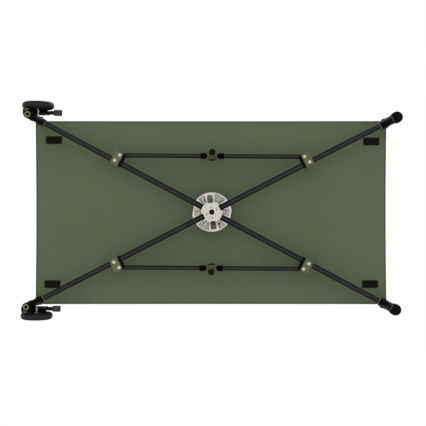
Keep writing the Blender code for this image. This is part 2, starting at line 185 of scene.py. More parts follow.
def hard_surface(name, rgb, rough, metallic=0.0, blotch=9.0, grain=900.0, depth=0.00008, worn=None, gleam=0.3,
                 shaded_sides=None):
    """Paint, plastic, rubber or metal: slow colour drift, uneven gloss, fine grain, and worn spots if given.

    The last argument, if given, is (axis, start, end, colour): painted shade. Faces get that dark colour or
    their own colour by how far the normal leans along that axis, from start (dark) to end (own colour).
    """
    t = Tree(name)
    drift = t.ramp(t.noise(blotch, 4), 0.3, 0.7)
    colour = t.mix(drift, linear(rgb, 0.86), linear(rgb, 1.14))
    if worn:
        spots = t.ramp(t.noise(70.0, 6, 0.7), 0.66, 0.72)
        colour = t.mix(spots, colour, linear(worn))
    # Painted shade: sides picked by the normal's lean are darkened
    if shaded_sides:
        axis, start, end, dark = shaded_sides
        normal = t.add("SeparateXYZ", {"Vector": t.add("TexCoord").outputs["Normal"]})
        lean = t.math("ABSOLUTE", normal.outputs[axis], 0.0)
        colour = t.mix(t.ramp(lean, start, end), linear(dark), colour)
    fine = t.noise(grain, 2)
    gloss = t.ramp(t.noise(35.0, 5, 0.6), 0.3, 0.7, rough - 0.07, min(1.0, rough + 0.08))
    return t.finish(colour, gloss, t.bump(fine, depth), Metallic=metallic, Specular_IOR_Level=gleam)


def cast_metal(name, rgb, rough, low=0.78):
    """Sand-cast alloy: a pitted, mottled skin."""
    t = Tree(name)
    mottle = t.ramp(t.noise(150.0, 6, 0.65), 0.38, 0.62)
    colour = t.mix(mottle, linear(rgb, low), linear(rgb, 1.10))
    stain = t.ramp(t.noise(36.0, 4), 0.55, 0.72)
    colour = t.mix(t.math("MULTIPLY", stain, 0.6), colour, linear((150, 147, 138)))
    gloss = t.ramp(t.noise(220.0, 3), 0.3, 0.7, rough - 0.1, rough + 0.1)
    skin = t.bump(t.noise(520.0, 5, 0.7), 0.0004)
    return t.finish(colour, gloss, skin, Metallic=0.15)


def weave_height(t, point, pitch):
    """A plain weave as a height from 0 to 1: threads along X and Y that pass over each other in turn."""
    axes = t.add("SeparateXYZ", {0: point})
    waves = [t.math("MULTIPLY", axes.outputs[k], 2 * pi / pitch) for k in (0, 1)]
    across = [t.math("ABSOLUTE", t.math("SINE", t.math("MULTIPLY", w, 0.5))) for w in waves]
    over = t.math("MULTIPLY", t.math("SINE", waves[0]), t.math("SINE", waves[1]))
    return t.math("ADD", t.math("MULTIPLY", across[0], across[1]), t.math("MULTIPLY", over, 0.25))


def canvas(name, rgb, stitch_axis=None):
    """Coated canvas. With a stitch axis, a row of stitches runs along the sheet's edge on that axis."""
    t = Tree(name)
    to_bed = BED.inverted()
    point = t.add("Mapping", {0: t.point(), 1: to_bed.translation, 2: to_bed.to_euler()}).outputs[0]
    drift = t.ramp(t.noise(2.2, 5, 0.6), 0.3, 0.7)
    colour = t.mix(drift, linear(rgb, 0.96), linear(rgb, 1.04))
    soil = t.ramp(t.noise(6.5, 4, 0.6), 0.45, 0.75)
    colour = t.mix(t.math("MULTIPLY", soil, 0.22), colour, linear((94, 97, 72)))
    threads = weave_height(t, point, 0.0013)
    fleck = t.ramp(t.noise(700.0, 2), 0.35, 0.65, 0.95, 1.04)
    vary = t.add("HueSaturation", {"Color": colour, "Value": fleck}).outputs[0]
    normal = t.bump(threads, 0.00025, 0.7)
    if stitch_axis is not None:
        axes = t.add("SeparateXYZ", {0: point})
        along = t.math("SINE", t.math("MULTIPLY", axes.outputs[stitch_axis], 2 * pi / STITCH))
        dash = t.math("GREATER_THAN", along, -0.35)
        half = SHEET_HALF_Y if stitch_axis == 0 else SHEET_HALF_X
        inside = t.math("SUBTRACT", half, t.math("ABSOLUTE", axes.outputs[1 - stitch_axis]))
        row = t.math("LESS_THAN", t.math("ABSOLUTE", t.math("SUBTRACT", inside, HEM * 0.8)), 0.0006)
        stitches = t.math("MULTIPLY", dash, row)
        vary = t.mix(stitches, vary, linear((58, 64, 48)))
        normal = t.bump(stitches, 0.0004, 1.0, normal)
    gloss = t.ramp(t.noise(14.0, 4), 0.3, 0.7, 0.80, 0.94)
    return t.finish(vary, gloss, normal, Sheen_Weight=0.04, Sheen_Roughness=0.6, Specular_IOR_Level=0.15)


def hook_tape(name, rgb):
    """Hook fastening tape: rows of stiff tufts."""
    t = Tree(name)
    tufts = t.noise(1500.0, 2)
    colour = t.mix(t.ramp(tufts, 0.35, 0.65), linear(rgb, 0.6), linear(rgb, 1.6))
    axes = t.add("SeparateXYZ", {0: t.point()})
    ridge = t.math("SINE", t.math("MULTIPLY", axes.outputs[0], 2 * pi / 0.0021))
    height = t.math("ADD", tufts, t.math("MULTIPLY", ridge, 0.4))
    gloss = t.ramp(tufts, 0.3, 0.7, 0.85, 1.0)
    return t.finish(colour, gloss, t.bump(height, 0.0006), Specular_IOR_Level=0.1)


LOOKS = {
    "canvas": canvas("olive_canvas", (88, 97, 76)),
    # Painted light: a much lighter copy of the canvas for the patch seen through the hub's window, against
    # the shade in there
    "canvas_painted_light": canvas("olive_canvas_painted_light", (147, 154, 126)),
    "hem_x": canvas("olive_hem_x", (76, 82, 66), 0),
    "hem_y": canvas("olive_hem_y", (76, 82, 66), 1),
    "pad": canvas("olive_pad", (84, 92, 72)),
    "hook_tape": hook_tape("hook_tape_black", (24, 25, 19)),
    # Painted shade: the tube's upright sides are darkened nearly to black, so its underside looks lit
    "tube": hard_surface("black_coated_tube", (45, 46, 46), 0.55, blotch=14, grain=1400, worn=(54, 55, 55),
                         gleam=0.10, shaded_sides=(2, 0.62, 0.97, (6, 7, 6))),
    "tube_dark": hard_surface("black_leg_tube", (12, 13, 12), 0.6, blotch=14, grain=1400, gleam=0.04),
    "cast": cast_metal("cast_alloy", (203, 200, 191), 0.6),
    # Painted shade: darker copies of the alloy for the hub's pocket floors, cored holes and the roofs of its
    # slots and window
    "cast_shaded_floor": cast_metal("cast_alloy_shaded_floor", (172, 171, 159), 0.7, low=0.4),
    "cast_shaded_core": cast_metal("cast_alloy_shaded_core", (52, 49, 42), 0.8, low=0.6),
    "cast_shaded_deep": cast_metal("cast_alloy_shaded_deep", (128, 126, 114), 0.8, low=0.5),
    "cast_black": hard_surface("black_casting", (12, 13, 11), 0.55, blotch=30, grain=600, depth=0.0003,
                               gleam=0.06),
    "olive": hard_surface("olive_casting", (92, 97, 70), 0.62, blotch=40, grain=500, depth=0.0002,
                          worn=(122, 124, 100), gleam=0.2),
    "olive_block": hard_surface("olive_block", (80, 83, 60), 0.62, blotch=40, grain=500, depth=0.0002,
                                worn=(98, 100, 78), gleam=0.1),
    "olive_dark": hard_surface("olive_rubber", (17, 22, 7), 0.7, blotch=40, grain=700, gleam=0.1),
    "rubber": hard_surface("black_rubber", (10, 11, 9), 0.75, blotch=50, grain=1200, depth=0.0001,
                           gleam=0.08),
    # Painted shade: the tyre's side walls are darkened nearly to black, so its tread looks lit
    "tyre": hard_surface("tyre_rubber", (36, 36, 37), 0.60, blotch=26, grain=800, depth=0.00025,
                         worn=(46, 45, 44), gleam=0.15, shaded_sides=(1, 0.85, 0.15, (8, 8, 8))),
    "rim": hard_surface("rim_nylon", (52, 54, 50), 0.5, blotch=30, grain=700, depth=0.0001),
    "steel": hard_surface("zinc_steel", (188, 191, 176), 0.4, 0.7, blotch=60, grain=400, depth=0.00006,
                          gleam=0.5),
    "steel_black": hard_surface("black_steel", (17, 17, 18), 0.45, blotch=40, grain=700, worn=(45, 45, 45),
                                gleam=0.2),
    "grip": hard_surface("grip_rubber", (24, 24, 26), 0.75, blotch=60, grain=1000, depth=0.0002, gleam=0.2),
    "grip_pad": hard_surface("grip_tread", (66, 66, 70), 0.8, blotch=60, grain=1000, depth=0.0002, gleam=0.2),
    "olive_metal": hard_surface("olive_bare_metal", (112, 114, 94), 0.5, 0.2, blotch=60, grain=500),
    "dull_metal": hard_surface("dull_ring", (76, 80, 68), 0.6, 0.1, blotch=60, grain=500),
}


# Mesh making


def ease_edges(piece, width, angle=50):
    """Rounds the edges that are sharper than an angle in degrees."""
    ease = piece.modifiers.new("ease", "BEVEL")
    ease.width = width
    ease.segments = 2
    ease.limit_method = "ANGLE"
    ease.angle_limit = radians(angle)


def finish_piece(name, shape, look, body, at=Matrix.Identity(4), bevel=0.0, smooth=35, replaces=()):
    """Turns a bmesh into a piece in place, with its edges eased, its material and the body it rides on."""
    bmesh.ops.recalc_face_normals(shape, faces=shape.faces)
    mesh = bpy.data.meshes.new(name)
    shape.to_mesh(mesh)
    shape.free()
    mesh.transform(at)
    mesh.shade_smooth()
    mesh.set_sharp_from_angle(angle=radians(smooth))
    mesh.materials.append(LOOKS[look])
    piece = bpy.data.objects.new(name, mesh)
    bpy.context.collection.objects.link(piece)
    if bevel:
        ease_edges(piece, bevel, 40)
    if replaces:
        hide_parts(*replaces)
    if body:
        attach(piece, body)
    return piece


def settle(piece, at, body, sharp=35, ease=0.0, limit=50):
    """Puts a carved piece in place on its body."""
    piece.data.transform(at)
    piece.data.set_sharp_from_angle(angle=radians(sharp))
    if ease:
        ease_edges(piece, ease, limit)
    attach(piece, body)


def lathe(profile, segments=48, closed=False):
    """Revolves (radius, height) points about Z."""
    shape = bmesh.new()
    rings = []
    for radius, height in profile:
        if radius == 0:
            rings.append([shape.verts.new((0, 0, height))])
        else:
            angles = [2 * pi * k / segments for k in range(segments)]
            rings.append([shape.verts.new((radius * cos(a), radius * sin(a), height)) for a in angles])
    pairs = list(zip(rings, rings[1:]))
    if closed:
        pairs.append((rings[-1], rings[0]))
    for upper, lower in pairs:
        for k in range(segments):
            n = (k + 1) % segments
            corners = [ring[j % len(ring)] for ring, j in ((upper, k), (upper, n), (lower, n), (lower, k))]
            face = list(dict.fromkeys(corners))
            if len(face) > 2:
                shape.faces.new(face)
    return shape


def pipe(outer, wall, low, high, segments=48):
    """A tube with eased ends."""
    inner, ease = outer - wall, wall * 0.25
    return lathe([
        (outer - ease, high), (outer, high - ease), (outer, low + ease), (outer - ease, low),
        (inner + ease, low), (inner, low + ease), (inner, high - ease), (inner + ease, high),
    ], segments, closed=True)


def prism(outline, low, high):
    """An outline in X and Y, extruded between two heights."""
    shape = bmesh.new()
    base = shape.faces.new([shape.verts.new((x, y, low)) for x, y in outline])
    grown = bmesh.ops.extrude_face_region(shape, geom=[base])["geom"]
    tops = [v for v in grown if isinstance(v, bmesh.types.BMVert)]
    bmesh.ops.translate(shape, verts=tops, vec=(0, 0, high - low))
    return shape


def rounded(x_range, y_range, corner, steps=6):
    """A rectangle's outline with rounded corners."""
    (x0, x1), (y0, y1) = x_range, y_range
    points = []
    for x, y, quarter in ((x1, y1, 0), (x0, y1, 1), (x0, y0, 2), (x1, y0, 3)):
        cx = x - corner if x == x1 else x + corner
        cy = y - corner if y == y1 else y + corner
        for k in range(steps + 1):
            a = (quarter + k / steps) * pi / 2
            points.append((cx + corner * cos(a), cy + corner * sin(a)))
    return points


def slab(x_range, y_range, z_range, corner=0.002):
    """A block with rounded upright edges."""
    return prism(rounded(x_range, y_range, corner), *z_range)


def carve(piece, shapes, operation="DIFFERENCE"):
    """Cuts bmesh shapes from a piece, or joins them to it, and applies the result."""
    for shape in shapes:
        bmesh.ops.recalc_face_normals(shape, faces=shape.faces)
        mesh = bpy.data.meshes.new("tool")
        shape.to_mesh(mesh)
        shape.free()
        tool = bpy.data.objects.new("tool", mesh)
        bpy.context.collection.objects.link(tool)
        change = piece.modifiers.new("carve", "BOOLEAN")
        change.operation = operation
        change.object = tool
        change.solver = "EXACT"
        apply_modifiers(piece)
        bpy.data.objects.remove(tool)


def apply_modifiers(piece):
    """Replaces the piece's mesh with what its modifiers make of it."""
    graph = bpy.context.evaluated_depsgraph_get()
    mesh = bpy.data.meshes.new_from_object(piece.evaluated_get(graph))
    piece.modifiers.clear()
    old = piece.data
    piece.data = mesh
    bpy.data.meshes.remove(old)


def moved(shape, matrix):
    """A shape, moved."""
    bmesh.ops.transform(shape, matrix=matrix, verts=shape.verts)
    return shape


def drill(radius, low, high, x=0.0, y=0.0, segments=24):
    """An upright cutter."""
    return moved(lathe([(0, high), (radius, high), (radius, low), (0, low)], segments), shift(x, y))


def union(*shapes):
    """Several shapes in one bmesh, kept as they are."""
    whole = bmesh.new()
    for shape in shapes:
        mesh = bpy.data.meshes.new("part")
        shape.to_mesh(mesh)
        shape.free()
        whole.from_mesh(mesh)
        bpy.data.meshes.remove(mesh)
    return whole


def hex_bolt(radius, height):
    """A hexagon head with a chamfered top, on a washer; the head is up."""
    washer = lathe([(0, 0.0012), (radius * 1.35, 0.0012), (radius * 1.35, 0), (0, 0)], 32)
    head = lathe([
        (0, height), (radius * 0.86, height), (radius, height - 0.0008), (radius, 0.001), (0, 0.001),
    ], 6)
    return union(washer, head)


def button_rivet(radius, height, dimple=0.0):
    """A domed rivet head, with a dimple if given; the dome is up."""
    dome = [(radius * sin(a), height * cos(a)) for a in [pi / 2 * k / 7 for k in range(8)]]
    if dimple:
        dome = [(0, height * 0.55), (dimple * 0.7, height * 0.6)] + [p for p in dome if p[0] > dimple]
    return lathe(dome + [(radius, -0.0006), (0, -0.0006)], 32)


def socket_screw(radius, height):
    """A cylinder head with a hexagon socket; the head is up."""
    socket = radius * 0.55
    return lathe([(0, height * 0.4), (socket, height * 0.4), (socket, height), (radius * 0.9, height),
                  (radius, height * 0.85), (radius, 0), (0, 0)], 24)


# Hub

UNDER_HUB = HUB_LOW - 0.01  # where the cutters for its underside start
HUB_FLATS = ((11, 0.1075), (191, 0.1035))  # the rim's two flats: direction in degrees, distance out
SLOT_HALF, SLOT_TOP = 0.017, 0.3575
RELIEF_HALF, RELIEF_LOW, RELIEF_TOP = 0.016, 0.3185, 0.3550
WINDOW_NEAR, WINDOW_FAR, WINDOW_HALF = 0.0515, 0.0975, 0.0163
WINDOW_TURN = radians(-7.7)
HUB_SCREWS, SCREW_RING = (-27, 82, 153, 262), 0.031  # directions in degrees, distance out
HUB_CORES = (  # small cored holes in the underside: x, y and radius in millimetres
    (-40, -66, 5.8), (-57, -57, 4.2), (-68, -50, 3.0), (48, -60, 5.0), (36, -50, 3.8), (60, -66, 3.2),
    (43, 65, 6.6), (56, 54, 3.6), (-31, 51, 4.0), (-45, 64, 3.6), (-21, 79, 3.4), (11, -21, 2.2),
    (-11.5, 24, 2.4), (78, -9, 4.2), (78, 9, 4.0), (63, 1, 3.0), (-74, -5, 3.6), (-63, 6, 3.4),
)


def hub_pocket(inner, outer, start, end, depth):
    """A sector-shaped cutter between two radii and two angles."""
    steps = 14
    outline = []
    for radius, a0, a1 in ((outer, start, end), (inner, end, start)):
        for k in range(steps + 1):
            a = a0 + (a1 - a0) * k / steps
            outline.append((radius * cos(a), radius * sin(a)))
    return prism(outline, UNDER_HUB, HUB_LOW + depth)


def pocket_row(start, end, count, rings, depth):
    """Pockets side by side between two angles, with ribs left between them."""
    rib = 0.0026
    cutters = []
    for inner, outer in rings:
        gap = rib / 2 / inner
        for k in range(count):
            a0 = start + (end - start) * k / count
            a1 = start + (end - start) * (k + 1) / count
            cutters.append(hub_pocket(inner, outer, a0 + gap, a1 - gap, depth))
    return cutters


def hub_pockets():
    """The pockets between the arm slots and beside the windows."""
    arm = arm_angles()[0]
    beside_slot, beside_window = radians(14), radians(16)
    cutters = []
    for middle in (0, pi):
        start, end = middle - arm + beside_slot, middle + arm - beside_slot
        cutters += pocket_row(start, end, 3, ((0.060, 0.074), (0.077, 0.098)), 0.005)
    for middle in (pi / 2, 3 * pi / 2):
        window = middle + WINDOW_TURN
        near, far = middle - pi / 2 + arm + beside_slot, middle + pi / 2 - arm - beside_slot
        for start, end in ((near, window - beside_window), (window + beside_window, far)):
            cutters += pocket_row(start, end, 2, ((0.059, 0.080), (0.083, 0.104)), 0.005)
    return cutters


def hub_slots():
    """Cutters for the arm slots, for the relief that two arms need as they fold, and for the rim's flats."""
    slots, reliefs, flats = [], [], []
    for start, angle in zip(SLOT_STARTS, arm_angles()):
        slot = slab((start, HUB_R + 0.01), (-SLOT_HALF, SLOT_HALF), (UNDER_HUB, SLOT_TOP), 0.0005)
        slots.append(moved(slot, turn(angle)))
        if start > RELIEF_START:
            across, heights = (-RELIEF_HALF, RELIEF_HALF), (RELIEF_LOW, RELIEF_TOP)
            relief = slab((RELIEF_START, PIN_REACH), across, heights, 0.0005)
            reliefs.append(moved(relief, turn(angle)))
    for degrees, reach in HUB_FLATS:
        flat = slab((reach, HUB_R + 0.02), (-HUB_R, HUB_R), (UNDER_HUB, HUB_HIGH + 0.01))
        flats.append(moved(flat, turn(radians(degrees))))
    return slots + reliefs + flats


def hub_windows():
    """Cutters for the windows: the left one goes right through, and the right one is closed above."""
    windows = []
    for middle, top in ((3 * pi / 2, HUB_HIGH + 0.01), (pi / 2, HUB_LOW + 0.030)):
        across = (-WINDOW_HALF, WINDOW_HALF)
        window = slab((WINDOW_NEAR, WINDOW_FAR), across, (UNDER_HUB, top), 0.010)
        windows.append(moved(window, turn(middle + WINDOW_TURN)))
    return windows


def make_hub():
    """A cast hub seen from below: a flat middle, ribbed pockets between the arm slots, and two windows."""
    edge, hole_top = 0.003, HUB_LOW + 0.018
    body = lathe([
        (0, HUB_HIGH), (HUB_R - 0.012, HUB_HIGH), (HUB_R - 0.004, HUB_HIGH - edge), (HUB_R, HUB_HIGH - 0.010),
        (HUB_R, HUB_LOW + edge), (HUB_R - 0.0015, HUB_LOW + 0.0008), (HUB_R - edge, HUB_LOW), (0, HUB_LOW),
    ], 96)
    hub = finish_piece("hub_casting_fine", body, "cast", None, replaces=["hub_casting"])
    screws = [(SCREW_RING * cos(radians(a)), SCREW_RING * sin(radians(a))) for a in HUB_SCREWS]
    carve(hub, hub_slots())
    carve(hub, [union(*hub_pockets())])
    carve(hub, hub_windows())
    carve(hub, [union(*[drill(0.0036, UNDER_HUB, HUB_LOW + 0.012, x, y) for x, y in screws])])
    carve(hub, [union(*[drill(r / 1000, UNDER_HUB, hole_top, x / 1000, y / 1000) for x, y, r in HUB_CORES])])
    carve(hub, [drill(0.0152, UNDER_HUB, hole_top, segments=40)])
    # Painted shade: faces that look down out of recesses get the darker alloy, picked by how deep they sit
    for look in ("cast_shaded_floor", "cast_shaded_core", "cast_shaded_deep"):
        hub.data.materials.append(LOOKS[look])
    for face in hub.data.polygons:
        depth = face.center.z - HUB_LOW
        if face.normal.z < -0.9:
            face.material_index = sum(depth > level for level in (0.004, 0.010, 0.020))
    settle(hub, HUB, "hub", sharp=30)
    make_hub_fittings(screws)


def make_hub_fittings(screws):
    """The hub's rubber plug and window stop, its small screws, and the boss and patch that hold the sheet."""
    plug_at = shift(HUB_X, 0, HUB_LOW + 0.0175) @ DOWN
    plug = lathe([
        (0, 0.0055), (0.0085, 0.0055), (0.0090, 0.0100), (0.0135, 0.0100), (0.0148, 0.0085), (0.0148, 0),
        (0, 0),
    ], 40)
    finish_piece("hub_plug", plug, "rubber", "hub", plug_at)
    lug = [(0, 0.0085), (0.0018, 0.0085), (0.0024, 0.0078), (0.0024, 0.005), (0, 0.005)]
    lugs = [moved(lathe(lug, 20), shift(x)) for x in (-0.0050, 0.0050)]
    finish_piece("hub_plug_lugs", union(*lugs), "dull_metal", "hub", plug_at)
    stop = slab((0.0525, 0.0600), (-0.0120, 0.0120), (HUB_LOW + 0.012, HUB_LOW + 0.0298), 0.002)
    finish_piece("hub_window_stop", stop, "rubber", "hub", HUB @ turn(pi / 2 + WINDOW_TURN))
    for index, (x, y) in enumerate(screws):
        at = shift(HUB_X + x, y, HUB_LOW + 0.0119) @ DOWN
        finish_piece(f"hub_screw_{index + 1}", socket_screw(0.0033, 0.004), "steel_black", "hub", at)
    boss = lathe([
        (0, 0.3934), (0.034, 0.3934), (0.035, 0.3924), (0.034, 0.3912), (0.021, 0.3890), (0.020, 0.3660),
        (0.026, HUB_HIGH - 0.0005), (0, HUB_HIGH - 0.0005),
    ], 48)
    finish_piece("hub_sheet_boss", boss, "cast", "hub", HUB)
    # The patch's lighter canvas is painted light, against the shade inside the hub's window
    disc = lathe([(0, 0.3946), (0.110, 0.3946), (0.1105, 0.3942), (0.110, 0.3938), (0, 0.3938)], 64)
    finish_piece("sheet_centre_patch", disc, "canvas_painted_light", "hub", HUB)


def arm_angles():
    """Directions of the four arms, in the order of CORNERS."""
    angle = atan2(-FOLD["axis"][0], FOLD["axis"][1])
    return [angle, pi - angle, pi + angle, 2 * pi - angle]


# Arms and legs


def make_arm(corner, at, body):
    """An arm's tube, with an end cap in the hub and bushes round the pin that it folds about."""
    start = ARM_STARTS[corner] - PIN_REACH
    length = CORNER_REACH - SOCKET_REACH - 0.0003 - PIN_REACH
    finish_piece(f"arm_{corner}", pipe(TUBE_R, 0.002, start, length), "tube", body, at @ ALONG_X,
                 replaces=[f"arm_tube_{corner}"])
    cap = lathe([(0, 0.0014), (0.0112, 0.0014), (0.0126, 0.0006), (0.0127, -0.004), (0, -0.004)], 32)
    finish_piece(f"arm_cap_{corner}", cap, "rubber", body, at @ shift(start) @ INWARD)
    for hand in (1, -1):
        bush = lathe([
            (0.0043, 0.0016), (0.0085, 0.0016), (0.009, 0.001), (0.009, 0), (0.0043, 0),
        ], 28, closed=True)
        at_pin = at @ shift(0, hand * 0.0142, 0) @ towards(hand)
        finish_piece(f"arm_bush_{corner}_{hand + 2}", bush, "dull_metal", body, at_pin)


def make_corner(corner, at, body):
    """The corner fitting with its socket for the arm, the leg, and what holds them together."""
    end = corner.split("_")[0]
    leg_at = at @ shift(CORNER_REACH - PIN_REACH)
    low, high, radius = POST_LOW - PIN_Z, POST_HIGH - PIN_Z, POST_R[end] - 0.001
    post = lathe([
        (0, high), (radius - 0.004, high), (radius - 0.001, high - 0.0015), (radius, high - 0.005),
        (radius, 0.024), (radius + 0.001, 0.022), (radius + 0.001, -0.024), (radius, -0.026),
        (radius, low + 0.004), (radius - 0.001, low + 0.001), (radius - 0.003, low), (0, low),
    ], 56)
    socket = lathe([
        (0, SOCKET_REACH), (0.0190, SOCKET_REACH), (0.0205, SOCKET_REACH - 0.002), (0.0205, 0.012),
        (0.0215, 0.006), (0.0215, 0), (0, 0),
    ], 56)
    fitting = finish_piece(f"corner_{corner}", post, "cast_black", None,
                           replaces=[f"corner_fitting_{corner}"])
    carve(fitting, [moved(socket, INWARD)], "UNION")
    settle(fitting, leg_at, body)
    ring = lathe([
        (0.0207, 0.0022), (0.0212, 0.0016), (0.0212, -0.0004), (0.0153, -0.0004), (0.0153, 0.0022),
    ], 56, closed=True)
    finish_piece(f"socket_ring_{corner}", ring, "olive_metal", body, leg_at @ shift(-SOCKET_REACH) @ INWARD)
    for hand in (1, -1):
        grub = moved(socket_screw(0.0034, 0.0016), shift(-0.024, hand * 0.010, -0.0178) @ DOWN)
        finish_piece(f"socket_grub_{corner}_{hand + 2}", grub, "steel_black", body, leg_at)
        bolt_at = leg_at @ shift(0, hand * (radius + 0.0008), 0.004) @ towards(hand)
        bolt = hex_bolt(0.0055, 0.0035)
        finish_piece(f"corner_bolt_{corner}_{hand + 2}", bolt, "steel_black", body, bolt_at)
    cap = lathe([(0, 0.006), (0.010, 0.0056), (0.015, 0.0040), (0.0172, 0.0016), (0.0175, 0), (0, 0)], 40)
    finish_piece(f"corner_button_{corner}", cap, "rubber", body, leg_at @ shift(0, 0, 0.0697))
    leg_r, foot_top = LEG_R[end], 0.0103 - PIN_Z
    finish_piece(f"leg_{corner}", pipe(leg_r, 0.002, foot_top, low - 0.0003, 56), "tube_dark", body, leg_at,
                 replaces=[f"leg_tube_{corner}"])
    collar = lathe([
        (leg_r + 0.0020, low - 0.001), (leg_r + 0.0022, low - 0.003), (leg_r + 0.0020, low - 0.012),
        (leg_r + 0.0003, low - 0.013), (leg_r + 0.0003, low - 0.0008),
    ], 56, closed=True)
    finish_piece(f"leg_collar_{corner}", collar, "cast_black", body, leg_at)
    make_foot(corner, end, leg_at @ shift(0, 0, -PIN_Z), body)


def make_foot(corner, end, at, body):
    """A moulded foot. The head feet have a ring-shaped sole and a lobe towards the wheel."""
    outer, bore, floor, high = FOOT_R[end], LEG_R[end] + 0.0003, 0.0100, 0.045
    ribs = []
    for k in range(4):
        z = 0.034 - k * 0.006
        ribs += [(outer, z), (outer - 0.0007, z - 0.0015), (outer - 0.0007, z - 0.003), (outer, z - 0.0045)]
    profile = [(0, floor), (bore, floor), (bore, high - 0.001), (bore + 0.0006, high), (outer - 0.0008, high),
               (outer, high - 0.001)] + ribs
    if end == "head":
        profile += [(outer, 0.004), (outer - 0.002, 0.0008), (outer - 0.004, 0.0004), (0.0085, 0.0004),
                    (0.0080, 0.0070), (0, 0.0070)]
    else:
        profile += [(outer, 0.006), (outer - 0.0015, 0.002), (outer - 0.004, 0), (outer - 0.0055, 0),
                    (outer - 0.006, 0.0008), (0, 0.0008)]
    foot = finish_piece(f"foot_cup_{corner}", lathe(profile, 64), "rubber", None, replaces=[f"foot_{corner}"])
    if end == "foot":
        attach(foot, body)
        foot.data.transform(at)
        # Painted highlight: the pale strip on the foot's inner edge stands in for the bright rim line there
        ridge = slab((-0.0285, -0.0228), (-0.0145, 0.0145), (0.0002, 0.0100), 0.0010)
        finish_piece(f"foot_highlight_strip_{corner}", ridge, "dull_metal", body, at)
        return
    side = CORNERS[corner][1]
    straight = turn(-arm_angles()[list(CORNERS).index(corner)])
    lobe = moved(slab((-0.027, 0.0205), span(side, -0.004, 0.033), (floor, high), 0.010), straight)
    carve(foot, [lobe], "UNION")
    carve(foot, [drill(bore, floor, high + 0.01, segments=56)])
    settle(foot, at, body)
    tab = slab((-0.019, 0.004), span(side, 0.019, 0.0315), (floor - 0.0012, floor - 0.0001), 0.004)
    finish_piece(f"foot_tab_{corner}", tab, "olive_block", body, at @ straight, bevel=0.0004)
    sole = lathe([(0.0150, 0.0006), (0.0154, 0.0003), (0.0150, 0.0000), (0.0090, 0.0000), (0.0086, 0.0003),
                  (0.0090, 0.0006)], 48, closed=True)
    finish_piece(f"foot_sole_{corner}", sole, "olive_metal", body, at)


# Side struts


def make_clamp(corner, at, body, hand):
    """A cast clamp that holds the arm and the strut's end, with a black rubber cap on its inner end that is
    painted shade for the dark gap beside the clamp.
    """
    centre, rivet_x, height = CLAMP_ALONG - PIN_REACH, STRUT_ALONG - PIN_REACH, CLAMP_HIGH
    near, far = centre - CLAMP_HALF, centre + CLAMP_HALF
    outline = slab((near, far), span(hand, -0.0198, 0.0548), (-height, height), 0.009)
    clamp = finish_piece(f"clamp_{corner}", outline, "olive", None, replaces=[f"strut_clamp_{corner}"])
    # Painted shade: the black wrap round the arm at the clamp's inner end stands in for the dark gap there
    shade_wrap = slab((near - 0.0105, near + 0.0050), span(hand, -0.0204, 0.0554),
                  (-height - 0.0007, height + 0.0007), 0.004)
    shade_wrap = finish_piece(f"clamp_shade_wrap_{corner}", shade_wrap, "rubber", None)
    room = STRUT_R + 0.0006
    for piece in (clamp, shade_wrap):
        bore = moved(drill(TUBE_R + 0.0003, -0.06, 0.06, segments=48), shift(centre) @ ALONG_X)
        mouth = slab((near - 0.02, rivet_x + 0.0195), span(hand, 0.0185, 0.070), (-room, room), 0.002)
        carve(piece, [bore, mouth])
    dish = slab((near + 0.007, far - 0.007), span(hand, -0.011, 0.046),
                (-height - 0.01, -height + 0.0012), 0.006)
    lip = slab((centre - 0.001, centre + 0.001), span(hand, -0.03, -0.014), (-0.03, 0.03), 0.0002)
    carve(clamp, [dish, lip])
    for piece in (clamp, shade_wrap):
        settle(piece, at, body, ease=0.0012)
    for side, z in (("under", -1), ("over", 1)):
        flip = DOWN if z < 0 else Matrix.Identity(4)
        rivet_at = at @ shift(rivet_x, hand * STRUT_ASIDE, z * (height - 0.0004)) @ flip
        screw_at = at @ shift(CLAMP_SCREW_ALONG - PIN_REACH, 0, z * (height - 0.0004)) @ flip
        head = finish_piece(f"strut_rivet_{side}_{corner}", button_rivet(0.0095, 0.0032, 0.0026), "steel",
                            body, rivet_at)
        if z < 0:
            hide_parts(f"strut_rivet_{corner}")
        finish_piece(f"clamp_rivet_{side}_{corner}", button_rivet(0.0095, 0.0032, 0.0026), "steel",
                     body, screw_at)
    shank = drill(0.004, -height, height, segments=20)
    finish_piece(f"strut_shank_{corner}", shank, "steel", body, at @ shift(rivet_x, hand * STRUT_ASIDE))


def strut_rivet():
    """Where the foot-right strut's rivet is, from the hub's axis."""
    angle = arm_angles()[0]
    x = STRUT_ALONG * cos(angle) - STRUT_ASIDE * sin(angle)
    y = STRUT_ALONG * sin(angle) + STRUT_ASIDE * cos(angle)
    return x, y


